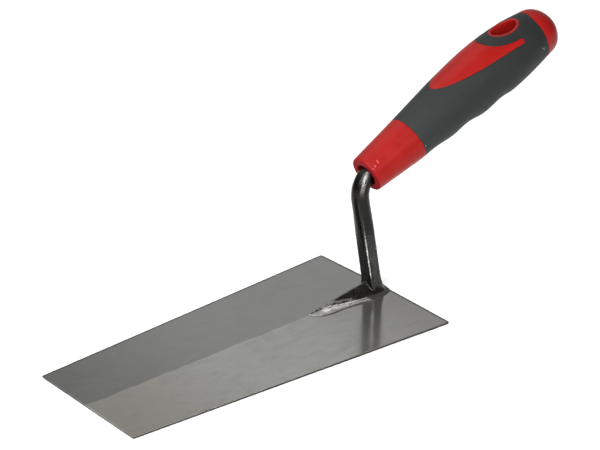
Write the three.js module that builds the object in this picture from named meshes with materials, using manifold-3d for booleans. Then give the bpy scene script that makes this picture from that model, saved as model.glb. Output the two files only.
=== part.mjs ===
// Brick trowel: a tapered steel blade, a drop-forged shank whose foot is welded to the blade,
// and a two-shot moulded handle, a hard red core inside a soft grey grip sleeve.
//
// Millimetres, +Z up. The origin is the middle of the blade's flat underside, +X runs from the
// toe of the blade to the butt of the handle. The trowel is the same on both sides of y = 0,
// apart from its two weld beads.

import * as THREE from 'three';
import { mergeVertices } from 'three/addons/utils/BufferGeometryUtils.js';
import Module from 'manifold-3d';

const wasm = await Module();
wasm.setup();

// ---------------------------------------------------------------- driving dimensions

const GAP = 0.3; // clearance between neighbouring pieces

const BLADE = {
  length: 180,
  heelWidth: 105,
  toeWidth: 80.6,
  heelThickness: 1.9, // on the centreline
  toeThickness: 1.3,
  edgeThickness: 1, // along both long edges, where the blade is ground thinner
  heelCorner: 1.2,
  toeCorner: 0.4,
};

// Distances along the foot are measured forwards from the back edge of the blade.
const FOOT = {
  length: 47.5,
  // distance from the back edge, half width of the forging
  halfWidths: [[0, 5.2], [4, 6.4], [12, 6.5], [18, 6], [29, 3.6], [37, 1.2], [47.5, 0.3]],
  // distance from the back edge, height of the ridge above the blade's underside
  ridge: [[0.3, 3.2], [4, 7.2], [12, 7.6], [25, 5.8], [37, 3.9], [47.5, 2.7]],
  flankFall: 0.62, // how far each flank falls from the ridge for a step sideways
};

// For each bead: distance from the back edge, half width over its toe.
const WELD = {
  near: [[1, 7.4], [7, 9.2], [13, 9.6], [20, 8.3], [28, 7.3], [38, 6.8], [44, 5.2], [48.5, 1.2]],
  far: [[1, 7.4], [7, 9.2], [13, 9.4], [20, 7.8], [28, 5.2], [38, 2.8], [46, 1.4]],
  height: 1.1,
};

const NECK = {
  lean: 5.2, // degrees, towards the toe
  bendRadius: 13,
  cornerToMouth: 5.6, // from the corner of the centrelines to the handle's mouth
  halfDepth: 3.38, // squarish forged section above the foot
  halfWidth: 4.52,
  squareness: 8,
  roundRadius: 4.6, // round section at the bend and along the tang
  squareBelow: 12, // heights between which the section changes from square to round
  roundAbove: 52,
  spread: 0.7, // how far the neck spreads into the foot, and over what height
  spreadTop: 10.5,
  spreadHeight: 4.5,
};

const HANDLE = {
  length: 132,
  tilt: 21.9, // degrees above the blade
  mouth: new THREE.Vector3(82.7, 0, 66.1),
  mouthRounding: 1,
  domeStart: 122,
  domePower: 2.8,
  // distance from the mouth, height of the surface above the axis
  top: [[0, 9.8], [30, 12.7], [60, 16], [86, 17.2], [108, 15.3], [122, 12.2]],
  // distance from the mouth, depth of the surface below the axis between the finger grooves
  bottom: [[0, 9.7], [32, 12.1], [54, 13.3], [76, 14.9], [98, 15.5], [122, 14.3]],
  grooveDepths: [0.9, 1.6, 1.4],
  firstGroove: 38,
  groovePitch: 22,
  collarLength: 30,
  buttStart: 119.2,
  buttSlope: 0.12, // the butt's edge leans towards the mouth below the axis
  sleeveWall: 2.4,
  tangDepth: 80,
};

const LEAF = { tip: 53, notch: 89, prong: 107.5, prongHalfWidth: 12 };

const HOLE = { centre: 105.5, halfLength: 7.5, halfWidth: 5.3, rim: 1.6 };

const MOUTH_RECESS = { radius: 6, depth: 5 };

// ---------------------------------------------------------------- materials

const MATERIALS = {
  blade: new THREE.MeshStandardMaterial({ color: 0x8c8c88, roughness: 0.42, metalness: 1 }),
  forging: new THREE.MeshStandardMaterial({ color: 0x35352f, roughness: 0.4, metalness: 0.9 }),
  weld: new THREE.MeshStandardMaterial({ color: 0x7d7c78, roughness: 0.4, metalness: 0.8 }),
  core: new THREE.MeshStandardMaterial({ color: 0xb92a24, roughness: 0.4, metalness: 0 }),
  sleeve: new THREE.MeshStandardMaterial({ color: 0x3c403e, roughness: 0.75, metalness: 0 }),
};

// ---------------------------------------------------------------- helpers

const radians = THREE.MathUtils.degToRad;

// The merged position-only copy of a closed geometry, as a manifold solid.
function solid(geometry) {
  const bare = geometry.index ? geometry.toNonIndexed() : geometry.clone();
  bare.deleteAttribute('normal');
  bare.deleteAttribute('uv');
  const merged = mergeVertices(bare, 1e-4);
  return new wasm.Manifold(new wasm.Mesh({
    numProp: 3,
    vertProperties: new Float32Array(merged.attributes.position.array),
    triVerts: new Uint32Array(merged.index.array),
  }));
}

function geometryOf(manifold) {
  const { vertProperties, triVerts } = manifold.getMesh();
  const geometry = new THREE.BufferGeometry();
  geometry.setAttribute('position', new THREE.BufferAttribute(vertProperties, 3));
  geometry.setIndex(new THREE.BufferAttribute(triVerts, 1));
  geometry.computeVertexNormals();
  return geometry;
}

// A closed cylinder reshaped ring by ring: place(station, angle) gives the point of a ring at an
// angle from its top towards the near side, and middle(station) the centre of an end.
function loft(stations, sides, place, middle) {
  const geometry = new THREE.CylinderGeometry(1, 1, 1, sides, stations.length - 1);
  const position = geometry.attributes.position;
  for (let i = 0; i < position.count; i += 1) {
    const x = position.getX(i);
    const z = position.getZ(i);
    const station = stations[Math.round((position.getY(i) + 0.5) * (stations.length - 1))];
    const point = Math.hypot(x, z) < 0.5 ? middle(station) : place(station, Math.atan2(x, z));
    position.setXYZ(i, point.x, point.y, point.z);
  }
  return geometry;
}

// Evenly spaced numbers from start to end, both included.
function steps(start, end, count) {
  return Array.from({ length: count + 1 }, (_, i) => start + ((end - start) * i) / count);
}

// A smooth curve through [position, value] points, straight beyond the last one.
function smoothThrough(points) {
  const slope = (i, j) => (points[j][1] - points[i][1]) / (points[j][0] - points[i][0]);
  const last = points.length - 1;
  const slopes = points.map((_, i) => slope(Math.max(i - 1, 0), Math.min(i + 1, last)));
  return (at) => {
    if (at >= points[last][0]) return points[last][1] + slopes[last] * (at - points[last][0]);
    const i = Math.max(points.findLastIndex(([position]) => position <= at), 0);
    const span = points[i + 1][0] - points[i][0];
    const t = (at - points[i][0]) / span;
    const rise = t * t * (3 - 2 * t);
    const fromStart = (t ** 3 - 2 * t * t + t) * span * slopes[i];
    const fromEnd = (t ** 3 - t * t) * span * slopes[i + 1];
    return points[i][1] * (1 - rise) + points[i + 1][1] * rise + fromStart + fromEnd;
  };
}

// A shape with straight sides and rounded corners, each corner as [x, y, rounding].
function roundedShape(corners) {
  const shape = new THREE.Shape();
  const points = corners.map(([x, y]) => new THREE.Vector2(x, y));
  corners.forEach(([x, y, rounding], i) => {
    const before = points.at(i - 1);
    const after = points[(i + 1) % points.length];
    const enter = before.clone().sub(points[i]).setLength(rounding).add(points[i]);
    const leave = after.clone().sub(points[i]).setLength(rounding).add(points[i]);
    if (i === 0) shape.moveTo(enter.x, enter.y);
    else shape.lineTo(enter.x, enter.y);
    shape.quadraticCurveTo(x, y, leave.x, leave.y);
  });
  return shape;
}

// The whole outline of a shape that is the same on both sides of y = 0, from the curves of the
// half above it, given from front to back.
function mirrored(curves) {
  const half = curves.flatMap((curve) => curve.getPoints(8).slice(0, -1));
  half.push(curves.at(-1).getPoint(1));
  const other = half.filter((point) => point.y > 0.01).reverse();
  return new THREE.Shape([...half, ...other.map(({ x, y }) => new THREE.Vector2(x, -y))]);
}

function ellipse(centre, halfLength, halfWidth) {
  const curve = new THREE.EllipseCurve(centre, 0, halfLength, halfWidth, 0, 2 * Math.PI);
  return new THREE.Shape(curve.getPoints(32).slice(0, -1));
}

// An upright prism of a shape in the XY plane, from one height to another.
function prism(shape, low, high) {
  const geometry = new THREE.ExtrudeGeometry(shape, {
    depth: high - low,
    bevelEnabled: false,
    curveSegments: 4,
  });
  return solid(geometry.translate(0, 0, low));
}

// ---------------------------------------------------------------- blade

const HEEL = BLADE.length / 2;
const { mapLinear, lerp } = THREE.MathUtils;

function bladeHalfWidth(x) {
  return mapLinear(x, -HEEL, HEEL, BLADE.toeWidth / 2, BLADE.heelWidth / 2);
}

function bladeTop(x, y) {
  const centre = mapLinear(x, -HEEL, HEEL, BLADE.toeThickness, BLADE.heelThickness);
  return lerp(centre, BLADE.edgeThickness, Math.abs(y) / bladeHalfWidth(x));
}

// A flat plate, thickest along its centreline, trimmed to the tapered plan with its corners.
function blade() {
  const geometry = new THREE.BoxGeometry(BLADE.length, 1, 1, 12, 4, 1);
  const position = geometry.attributes.position;
  for (let i = 0; i < position.count; i += 1) {
    const x = position.getX(i);
    const y = position.getY(i) * 2 * bladeHalfWidth(x);
    position.setXYZ(i, x, y, position.getZ(i) > 0 ? bladeTop(x, y) : 0);
  }
  const plan = roundedShape([
    [-HEEL, -BLADE.toeWidth / 2, BLADE.toeCorner],
    [HEEL, -BLADE.heelWidth / 2, BLADE.heelCorner],
    [HEEL, BLADE.heelWidth / 2, BLADE.heelCorner],
    [-HEEL, BLADE.toeWidth / 2, BLADE.toeCorner],
  ]);
  return geometryOf(solid(geometry).intersect(prism(plan, -1, 2 * BLADE.heelThickness)));
}

// ---------------------------------------------------------------- foot

const FOOT_BOTTOM = BLADE.heelThickness + GAP;
const footHalfWidth = smoothThrough(FOOT.halfWidths);
const ridgeHeight = smoothThrough(FOOT.ridge);

// A kite-shaped wedge whose two flanks fall from a ridge, which rises from the tip to the neck.
function foot() {
  const place = (fromHeel, angle) => {
    const halfWidth = footHalfWidth(fromHeel);
    const ridge = ridgeHeight(fromHeel);
    const shoulder = Math.max(ridge - FOOT.flankFall * halfWidth, FOOT_BOTTOM + GAP);
    const corner = Math.round(angle / radians(60)); // 0 on the ridge, 3 under the middle
    const height = [ridge, shoulder, FOOT_BOTTOM, FOOT_BOTTOM][Math.abs(corner)];
    const across = Math.abs(corner) % 3 === 0 ? 0 : Math.sign(corner) * halfWidth;
    return new THREE.Vector3(HEEL - fromHeel, across, height);
  };
  const middle = (fromHeel) => new THREE.Vector3(HEEL - fromHeel, 0, FOOT_BOTTOM + GAP / 2);
  return solid(loft(steps(GAP, FOOT.length, 20), 6, place, middle));
}

// ---------------------------------------------------------------- neck and tang

// The shank's centreline in the plane y = 0: up the neck, round the bend, along the tang.
// at(s) gives the point at a distance s from the bottom, with the directions along and across.
function shankPath() {
  const lean = radians(NECK.lean);
  const tilt = radians(HANDLE.tilt);
  const up = new THREE.Vector3(-Math.sin(lean), 0, Math.cos(lean));
  const along = new THREE.Vector3(Math.cos(tilt), 0, Math.sin(tilt));
  const corner = HANDLE.mouth.clone().addScaledVector(along, -NECK.cornerToMouth);
  const turn = Math.PI / 2 + lean - tilt;
  const inset = NECK.bendRadius * Math.tan(turn / 2);
  const neckLength = (corner.z - FOOT_BOTTOM - 1) / Math.cos(lean) - inset;
  const bendLength = NECK.bendRadius * turn;
  const tangLength = HANDLE.tangDepth + NECK.cornerToMouth - inset;
  const bendStart = corner.clone().addScaledVector(up, -inset);
  const bendCentre = bendStart.clone().add(
    new THREE.Vector3(up.z, 0, -up.x).multiplyScalar(NECK.bendRadius),
  );
  const at = (s) => {
    const angle = THREE.MathUtils.clamp((s - neckLength) / NECK.bendRadius, 0, turn) - lean;
    const direction = new THREE.Vector3(Math.sin(angle), 0, Math.cos(angle));
    const outward = new THREE.Vector3(-Math.cos(angle), 0, Math.sin(angle));
    const straight = s - THREE.MathUtils.clamp(s, neckLength, neckLength + bendLength);
    const point = bendCentre.clone()
      .addScaledVector(outward, NECK.bendRadius)
      .addScaledVector(direction, straight);
    return { point, outward };
  };
  return { at, neckLength, bendLength, total: neckLength + bendLength + tangLength };
}

// The section of the shank: a rounded square above the foot that fades to a circle at the bend.
function shankRadius(height, angle, inHandle) {
  const fade = inHandle ? 1 : THREE.MathUtils.smoothstep(height, NECK.squareBelow, NECK.roundAbove);
  const power = lerp(NECK.squareness, 2, Math.sqrt(fade));
  const depth = lerp(NECK.halfDepth, NECK.roundRadius, fade);
  const width = lerp(NECK.halfWidth, NECK.roundRadius, fade);
  const sum = Math.abs(Math.cos(angle) / depth) ** power + Math.abs(Math.sin(angle) / width) ** power;
  return sum ** (-1 / power);
}

// The neck spreads into the foot over its lowest few millimetres.
function neckSpread(height) {
  const below = THREE.MathUtils.clamp((NECK.spreadTop - height) / NECK.spreadHeight, 0, 1);
  return NECK.spread * below ** 2;
}

function neckAndTang() {
  const path = shankPath();
  const bendEnd = path.neckLength + path.bendLength;
  const stations = [
    ...steps(0, 12, 4),
    ...steps(12, path.neckLength, 6).slice(1),
    ...steps(path.neckLength, bendEnd, 7).slice(1),
    ...steps(bendEnd, path.total, 3).slice(1),
  ];
  const place = (station, angle) => {
    const { point, outward } = path.at(station);
    const inHandle = station > path.neckLength;
    const radius = shankRadius(point.z, angle, inHandle) + neckSpread(point.z);
    point.addScaledVector(outward, radius * Math.cos(angle));
    point.y -= radius * Math.sin(angle);
    return point;
  };
  return solid(loft(stations, 24, place, (station) => path.at(station).point));
}

function shank() {
  return geometryOf(foot().add(neckAndTang()));
}

// ---------------------------------------------------------------- welds

// A bead along one side of the foot, on the far side for sign 1 and the near side for sign -1.
function weld(sign, halfWidths) {
  const halfWidth = smoothThrough(halfWidths);
  const stations = steps(halfWidths[0][0], halfWidths.at(-1)[0], 18);
  const edges = (fromHeel) => {
    const forging = fromHeel < FOOT.length ? footHalfWidth(fromHeel) : 0;
    return { inner: forging + GAP, outer: halfWidth(fromHeel) };
  };
  const centre = (fromHeel) => {
    const { inner, outer } = edges(fromHeel);
    return new THREE.Vector3(HEEL - fromHeel, (sign * (inner + outer)) / 2, FOOT_BOTTOM);
  };
  const place = (fromHeel, angle) => {
    const { inner, outer } = edges(fromHeel);
    const point = centre(fromHeel);
    point.y += ((outer - inner) / 2) * Math.sin(angle);
    point.z += Math.max(0, WELD.height * Math.cos(angle));
    return point;
  };
  return loft(stations, 12, place, centre);
}

// ---------------------------------------------------------------- handle
// Its own axes: x along the axis from the mouth, z up, y across.

const topOf = smoothThrough(HANDLE.top);
const bottomOf = smoothThrough(HANDLE.bottom);

function grooveDepth(x) {
  return HANDLE.grooveDepths.reduce((sum, depth, i) => {
    const offset = (x - HANDLE.firstGroove - i * HANDLE.groovePitch) / HANDLE.groovePitch;
    return sum + (Math.abs(offset) < 0.5 ? depth * Math.cos(offset * Math.PI) ** 2 : 0);
  }, 0);
}

const DOME_SHARE = 0.93; // the dome stops just short of its pole, at a small flat

// How much of the radius is left at the butt's dome.
function dome(x) {
  const along = Math.max(0, (x - HANDLE.domeStart) / (HANDLE.length - HANDLE.domeStart));
  return Math.sqrt(Math.max(0, 1 - along ** HANDLE.domePower));
}

// What the rounding of the mouth's rim takes off the radius.
function mouthRounding(x) {
  const r = HANDLE.mouthRounding;
  return x < r ? r - Math.sqrt(r * r - (r - x) ** 2) : 0;
}

// The outside of the handle, moved in by an inset.
function handleForm(inset = 0) {
  const quarterTurns = steps(0, Math.PI / 2, 7).slice(1);
  const stations = [
    ...quarterTurns.slice(0, -1).map((turn) => HANDLE.mouthRounding * (1 - Math.cos(turn))),
    ...steps(HANDLE.mouthRounding, HANDLE.domeStart, 30),
    ...quarterTurns.map((turn) => lerp(
      HANDLE.domeStart,
      HANDLE.length,
      Math.sin(turn * DOME_SHARE) ** (2 / HANDLE.domePower),
    )),
  ];
  const place = (x, angle) => {
    const top = topOf(x) - mouthRounding(x) - inset;
    const bottom = bottomOf(x) - mouthRounding(x) - inset;
    const width = (top + bottom) / 2;
    const rise = Math.cos(angle) > 0 ? top : bottom - grooveDepth(x);
    return new THREE.Vector3(
      x,
      -width * dome(x) * Math.sin(angle),
      rise * dome(x) * Math.cos(angle),
    );
  };
  return solid(loft(stations, 36, place, (x) => new THREE.Vector3(x, 0, 0)));
}

// A block across the whole handle between two stations, its ends sloped away from the axis.
function span(from, to, slope = 0) {
  const reach = 30;
  const geometry = new THREE.BoxGeometry(to - from, 2 * reach, 2 * reach);
  geometry.translate((from + to) / 2, 0, 0);
  geometry.applyMatrix4(new THREE.Matrix4().makeShear(0, 0, 0, 0, slope, 0));
  return solid(geometry);
}

// The leaf-shaped window on top: a rounded tip, and a notch behind that curves round the hole.
function leafShape(margin = 0) {
  const tip = new THREE.Vector2(LEAF.tip - margin, 0);
  const prong = new THREE.Vector2(LEAF.prong + margin, LEAF.prongHalfWidth);
  const outer = prong.clone().add(new THREE.Vector2(-0.8, 0.9 + margin));
  const inner = prong.clone().add(new THREE.Vector2(-0.8, -0.9 - margin));
  const notch = new THREE.Vector2(LEAF.notch + margin, 0);
  return mirrored([
    new THREE.CubicBezierCurve(
      tip,
      new THREE.Vector2(tip.x, 6.8 + margin),
      new THREE.Vector2(74, 13.6 + margin),
      outer,
    ),
    new THREE.QuadraticBezierCurve(outer, prong, inner),
    new THREE.QuadraticBezierCurve(inner, new THREE.Vector2(notch.x - 0.2, 10.8 - margin), notch),
  ]);
}

function ringShape(margin = 0) {
  const wider = HOLE.rim + margin;
  return ellipse(HOLE.centre, HOLE.halfLength + wider, HOLE.halfWidth + wider);
}

// A round bore along the handle's axis, from in front of the mouth to a depth.
function bore(radius, depth) {
  const clear = 2;
  const geometry = new THREE.CylinderGeometry(radius, radius, depth + clear, 24);
  geometry.rotateZ(Math.PI / 2).translate((depth - clear) / 2, 0, 0);
  return solid(geometry);
}

const REACH = 30; // further than the handle's surface is from its axis

// The hard core: collar, leaf, hole rim and butt come up to the surface, the rest lies under the
// sleeve. The tang fills the bore, and the wider recess at the mouth leaves room for the bend.
function handleCore() {
  const windows = span(-1, HANDLE.collarLength)
    .add(span(HANDLE.buttStart, HANDLE.length + REACH, HANDLE.buttSlope))
    .add(prism(leafShape(), 0, REACH))
    .add(prism(ringShape(), -REACH, REACH));
  const core = handleForm().intersect(windows)
    .add(handleForm(HANDLE.sleeveWall))
    .subtract(prism(ellipse(HOLE.centre, HOLE.halfLength, HOLE.halfWidth), -REACH, REACH))
    .subtract(bore(NECK.roundRadius + GAP, HANDLE.tangDepth + GAP))
    .subtract(bore(MOUTH_RECESS.radius, MOUTH_RECESS.depth));
  return geometryOf(core);
}

// The soft sleeve moulded over the core, with openings for all that comes up to the surface.
function gripSleeve() {
  const sleeve = handleForm()
    .subtract(handleForm(HANDLE.sleeveWall - GAP))
    .subtract(span(-1, HANDLE.collarLength + GAP))
    .subtract(span(HANDLE.buttStart - GAP, HANDLE.length + REACH, HANDLE.buttSlope))
    .subtract(prism(leafShape(GAP), 0, REACH))
    .subtract(prism(ringShape(GAP), -REACH, REACH));
  return geometryOf(sleeve);
}

// ---------------------------------------------------------------- assembly

function mesh(name, geometry, material) {
  const piece = new THREE.Mesh(geometry, material);
  piece.name = name;
  return piece;
}

const handle = new THREE.Group();
handle.position.copy(HANDLE.mouth);
handle.rotation.y = -radians(HANDLE.tilt);
handle.add(
  mesh('handle_core', handleCore(), MATERIALS.core),
  mesh('grip_sleeve', gripSleeve(), MATERIALS.sleeve),
);

const trowel = new THREE.Group();
trowel.add(
  mesh('blade', blade(), MATERIALS.blade),
  mesh('shank', shank(), MATERIALS.forging),
  mesh('weld_near', weld(-1, WELD.near), MATERIALS.weld),
  mesh('weld_far', weld(1, WELD.far), MATERIALS.weld),
  handle,
);

export default trowel;
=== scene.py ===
"""A brick trowel resting on the flat of its blade on a pale floor.

Lengths are millimetres in the frame's own axes until a mesh is made: +X from the toe of the blade
to the butt of the handle, +Z up, the origin in the middle of the blade's underside.
"""

import math

import bmesh
import bpy
import numpy as np
from mathutils import Euler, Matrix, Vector, noise
from mathutils.geometry import delaunay_2d_cdt


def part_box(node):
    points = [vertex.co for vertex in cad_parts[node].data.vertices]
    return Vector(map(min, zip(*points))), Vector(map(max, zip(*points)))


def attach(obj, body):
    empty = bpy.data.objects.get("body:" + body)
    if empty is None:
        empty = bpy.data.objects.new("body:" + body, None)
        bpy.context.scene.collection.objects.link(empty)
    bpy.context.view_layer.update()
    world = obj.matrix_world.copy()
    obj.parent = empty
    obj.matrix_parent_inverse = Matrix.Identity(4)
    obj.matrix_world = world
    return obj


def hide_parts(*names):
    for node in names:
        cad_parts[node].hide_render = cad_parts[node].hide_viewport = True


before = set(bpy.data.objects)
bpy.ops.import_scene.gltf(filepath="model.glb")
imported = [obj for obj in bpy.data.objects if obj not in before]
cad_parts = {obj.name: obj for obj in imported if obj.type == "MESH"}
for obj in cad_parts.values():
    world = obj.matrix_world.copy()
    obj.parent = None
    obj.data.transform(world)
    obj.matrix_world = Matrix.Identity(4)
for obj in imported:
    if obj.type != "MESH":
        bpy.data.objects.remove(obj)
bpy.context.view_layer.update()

MM = 0.001

# ---- driving dimensions

BLADE_BOX = [Vector(corner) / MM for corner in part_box("blade")]
HEEL = BLADE_BOX[1].x
TOE = BLADE_BOX[0].x
HEEL_HALF_WIDTH = 52.5
TOE_HALF_WIDTH = 40.3
HEEL_THICKNESS = BLADE_BOX[1].z  # on the centreline
TOE_THICKNESS = 1.3
EDGE_THICKNESS = 1.0
HEEL_CORNER = 1.2
TOE_CORNER = 0.4

# Along the foot: (distance in front of the blade's back edge, size). The ridge's size is its
# height above the blade's underside, the others' are distances from the centreline.
FOOT_LENGTH = 47.5
FOOT_BACK = 0.3
FOOT_HALF_WIDTHS = [(0, 5.2), (4, 6.4), (12, 6.5), (18, 6), (29, 3.6), (37, 1.2), (47.5, 0.5)]
FOOT_RIDGE = [(FOOT_BACK, 3.2), (4, 7.2), (12, 7.6), (25, 5.8), (37, 3.9), (47.5, 2.4)]
FLANK_FALL = 0.62  # how far the flank falls for each millimetre out from the ridge
NEAR_WELD = [(1, 7.4), (7, 9.2), (13, 9.6), (20, 8.3), (28, 7.3), (38, 6.8), (44, 5.2), (48.5, 1.2)]
FAR_WELD = [(1, 7.2), (7, 8.7), (13, 8.7), (20, 7.2), (28, 4.9), (38, 2.6), (46, 1.2)]

NECK_LEAN = math.radians(5.2)
BEND_RADIUS = 13.0
CORNER_TO_MOUTH = 5.6
NECK_HALF_DEPTH = 3.38
NECK_HALF_WIDTH = 4.52
NECK_SQUARENESS = 8.0
ROD_RADIUS = 4.6
SQUARE_BELOW = 12.0
ROUND_ABOVE = 52.0
NECK_SPREAD = 0.7
SPREAD_TOP = 10.5
SPREAD_HEIGHT = 4.5
TANG_DEPTH = 80.0

HANDLE_LENGTH = 132.0
HANDLE_TILT = math.radians(21.9)
MOUTH = np.array([82.7, 0.0, 66.1])
MOUTH_ROUNDING = 1.0
DOME_START = 122.0
DOME_POWER = 2.8
# Along the handle: (distance from the mouth, distance from its axis).
HANDLE_TOP = [(0, 9.8), (30, 12.7), (60, 16.0), (86, 17.2), (108, 15.3), (122, 12.2)]
HANDLE_BOTTOM = [(0, 9.7), (32, 12.1), (54, 13.3), (76, 14.9), (98, 15.5), (122, 14.3)]
GROOVE_DEPTHS = [0.9, 1.6, 1.4]
FIRST_GROOVE = 38.0
GROOVE_PITCH = 22.0
COLLAR_LENGTH = 30.0
COLLAR_SLANT = 0.5
# Round the handle: (degrees from its top, distance from the mouth).
BUTT_SEAM = [(0, 121.3), (30, 120.1), (60, 119.6), (95, 118.7), (180, 117.8)]
SLEEVE_WALL = 2.1

# Seen in plan: (distance from the mouth, distance from the centreline).
LEAF_TIP = 53.0
LEAF_NOSE = 6.8
LEAF_SHOULDER = (74.0, 13.6)
LEAF_PRONG = (107.5, 12.0)
PRONG_CUT = 0.8
PRONG_HALF_WIDTH = 0.9
LEAF_NOTCH = 89.0
NOTCH_WIDTH = 10.8
HOLE_CENTRE = 105.5
HOLE_HALF_LENGTH = 7.5
HOLE_HALF_WIDTH = 5.3
HOLE_RIM = 1.6
RECESS_RADIUS = 6.0
RECESS_DEPTH = 5.0

# ---- numbers and curves


def smooth_through(points):
    """A smooth curve through (position, value) points, straight beyond the last one."""
    at = np.array([p for p, _ in points], float)
    value = np.array([v for _, v in points], float)
    last = len(points) - 1
    before = np.maximum(np.arange(last + 1) - 1, 0)
    after = np.minimum(np.arange(last + 1) + 1, last)
    slope = (value[after] - value[before]) / (at[after] - at[before])

    def curve(x):
        x = np.asarray(x, float)
        i = np.clip(np.searchsorted(at, x, side="right") - 1, 0, last - 1)
        span = at[i + 1] - at[i]
        t = (x - at[i]) / span
        rise = t * t * (3 - 2 * t)
        eased = (
            value[i] * (1 - rise) + value[i + 1] * rise
            + (t**3 - 2 * t * t + t) * span * slope[i]
            + (t**3 - t * t) * span * slope[i + 1]
        )
        return np.where(x >= at[last], value[last] + slope[last] * (x - at[last]), eased)

    return curve


def lerp(a, b, t):
    return a + (b - a) * t


def smooth_step(x, low, high):
    t = np.clip((x - low) / (high - low), 0, 1)
    return t * t * (3 - 2 * t)


def between(x, start, full, fading, end):
    """Rises from 0 at start to 1 at full, stays there, and falls from fading to 0 at end."""
    return smooth_step(x, start, full) * (1 - smooth_step(x, fading, end))


def bezier(controls, count):
    """Points of a Bezier curve of any degree, without its last one."""
    controls = np.array(controls, float)
    degree = len(controls) - 1
    t = np.arange(count)[:, None] / count
    weights = [math.comb(degree, k) * t**k * (1 - t) ** (degree - k) for k in range(degree + 1)]
    return sum(w * c for w, c in zip(weights, controls))


def inside(polygon, x, y):
    """Which of the points lie inside a closed polygon."""
    result = np.zeros(np.shape(x), bool)
    for (x0, y0), (x1, y1) in zip(polygon, np.roll(polygon, -1, axis=0)):
        if y0 != y1:
            crossing = x0 + (y - y0) * (x1 - x0) / (y1 - y0)
            result ^= ((y0 > y) != (y1 > y)) & (x < crossing)
    return result


# ---- meshes


def new_piece(name, vertices, faces, material, stands_for, slot):
    """A smooth-shaded piece of the trowel from millimetre points."""
    mesh = bpy.data.meshes.new(name)
    mesh.from_pydata((np.asarray(vertices) * MM).tolist(), [], [tuple(map(int, f)) for f in faces])
    mesh.validate()
    mesh.shade_smooth()
    mesh.materials.append(material)
    piece = bpy.data.objects.new(name, mesh)
    bpy.context.collection.objects.link(piece)
    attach(piece, "root")
    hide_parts(stands_for)
    return piece


def closed_tube(rings):
    """Vertices and faces of a tube of rings, each an (n, 3) array, closed by a fan at both ends."""
    rings = np.asarray(rings)
    count, sides = rings.shape[:2]
    vertices = [*rings.reshape(-1, 3), rings[0].mean(axis=0), rings[-1].mean(axis=0)]
    faces = []
    for i in range(count - 1):
        for j in range(sides):
            k = (j + 1) % sides
            faces.append((i * sides + j, i * sides + k, (i + 1) * sides + k, (i + 1) * sides + j))
    first, last = count * sides, count * sides + 1
    for j in range(sides):
        k = (j + 1) % sides
        faces.append((first, k, j))
        faces.append((last, (count - 1) * sides + j, (count - 1) * sides + k))
    return np.array(vertices), faces


def offset_loop(loop, distance):
    """A closed loop of 2D points moved sideways, to its left where the distance is positive."""
    along = np.roll(loop, -1, axis=0) - np.roll(loop, 1, axis=0)
    along /= np.linalg.norm(along, axis=1)[:, None]
    return loop + distance * np.stack([-along[:, 1], along[:, 0]], axis=1)


def triangulate(points, edges):
    """Triangles over 2D points that keep the given edges, and for each point which one it was."""
    result = delaunay_2d_cdt([Vector(p) for p in points], edges, [], 0, 1e-6, True)
    flat = np.array([tuple(v) for v in result[0]])
    origin = np.array([first[0] if first else -1 for first in result[3]])
    return flat, np.array(result[2]), origin


def filled_points(loops, spacing, low, high, clearance):
    """Grid points between two corners that keep clear of every loop."""
    xs = np.arange(low[0] + spacing, high[0] - spacing / 2, spacing)
    ys = np.arange(low[1] + spacing, high[1] - spacing / 2, spacing)
    grid = np.stack(np.meshgrid(xs, ys), axis=-1).reshape(-1, 2)
    nearest = np.full(len(grid), np.inf)
    for loop in loops:
        for part in np.array_split(loop, max(1, len(loop) // 50)):
            gaps = np.linalg.norm(grid[:, None] - part[None], axis=2)
            nearest = np.minimum(nearest, gaps.min(axis=1))
    return grid[nearest > clearance]


def edge_uses(triangles):
    """Each directed edge of the triangles."""
    return {(int(t[i]), int(t[(i + 1) % 3])) for t in triangles for i in range(3)}


def shell(upper, lower, triangles, open_points=frozenset()):
    """A closed sheet between two surfaces over the same triangles, left open along edges that
    join two of the open points."""
    count = len(upper)
    faces = [tuple(t) for t in triangles] + [tuple(t[::-1] + count) for t in triangles]
    edges = edge_uses(triangles)
    for a, b in edges:
        if (b, a) not in edges and not {a, b} <= open_points:
            faces.append((b, a, a + count, b + count))
    return np.concatenate([upper, lower]), faces


def merged(parts, mirror):
    """One mesh of several (vertices, faces) parts, mirrored across y = 0 if asked, with what
    touches joined."""
    mesh = bmesh.new()
    for vertices, faces in parts:
        for side in (1, -1) if mirror else (1,):
            points = [mesh.verts.new((x, y * side, z)) for x, y, z in vertices]
            for face in faces:
                mesh.faces.new([points[i] for i in face[::side]])
    bmesh.ops.remove_doubles(mesh, verts=mesh.verts, dist=1e-4)
    bmesh.ops.dissolve_degenerate(mesh, edges=mesh.edges, dist=1e-5)
    loose = [v for v in mesh.verts if not v.link_faces]
    bmesh.ops.delete(mesh, geom=loose, context="VERTS")
    bmesh.ops.recalc_face_normals(mesh, faces=mesh.faces)
    mesh.verts.index_update()
    vertices = np.array([v.co for v in mesh.verts])
    faces = [tuple(v.index for v in f.verts) for f in mesh.faces]
    mesh.free()
    return vertices, faces


def roundover(radius, count=3):
    """How far in from an edge, and how far down, each step of a rounded edge lies."""
    turns = np.linspace(0, math.pi / 2, count + 1)
    return [(radius * (1 - math.cos(t)), radius * (1 - math.sin(t))) for t in turns]


# ---- blade

EDGE_ROUNDING = 0.22
SHARP_EDGE = math.radians(40)
RIDGE_SOFTNESS = 2.0
CORNER_STEPS = 8
SIDE_STEP = 2.0
RIM_RINGS = [0.6, 1.1, 1.7, 2.5]  # how far in from the outline
BLADE_GRID = 3.75
BLADE_CLEARANCE = 1.9


def blade_half_width(x):
    return lerp(TOE_HALF_WIDTH, HEEL_HALF_WIDTH, (x - TOE) / (HEEL - TOE))


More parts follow.
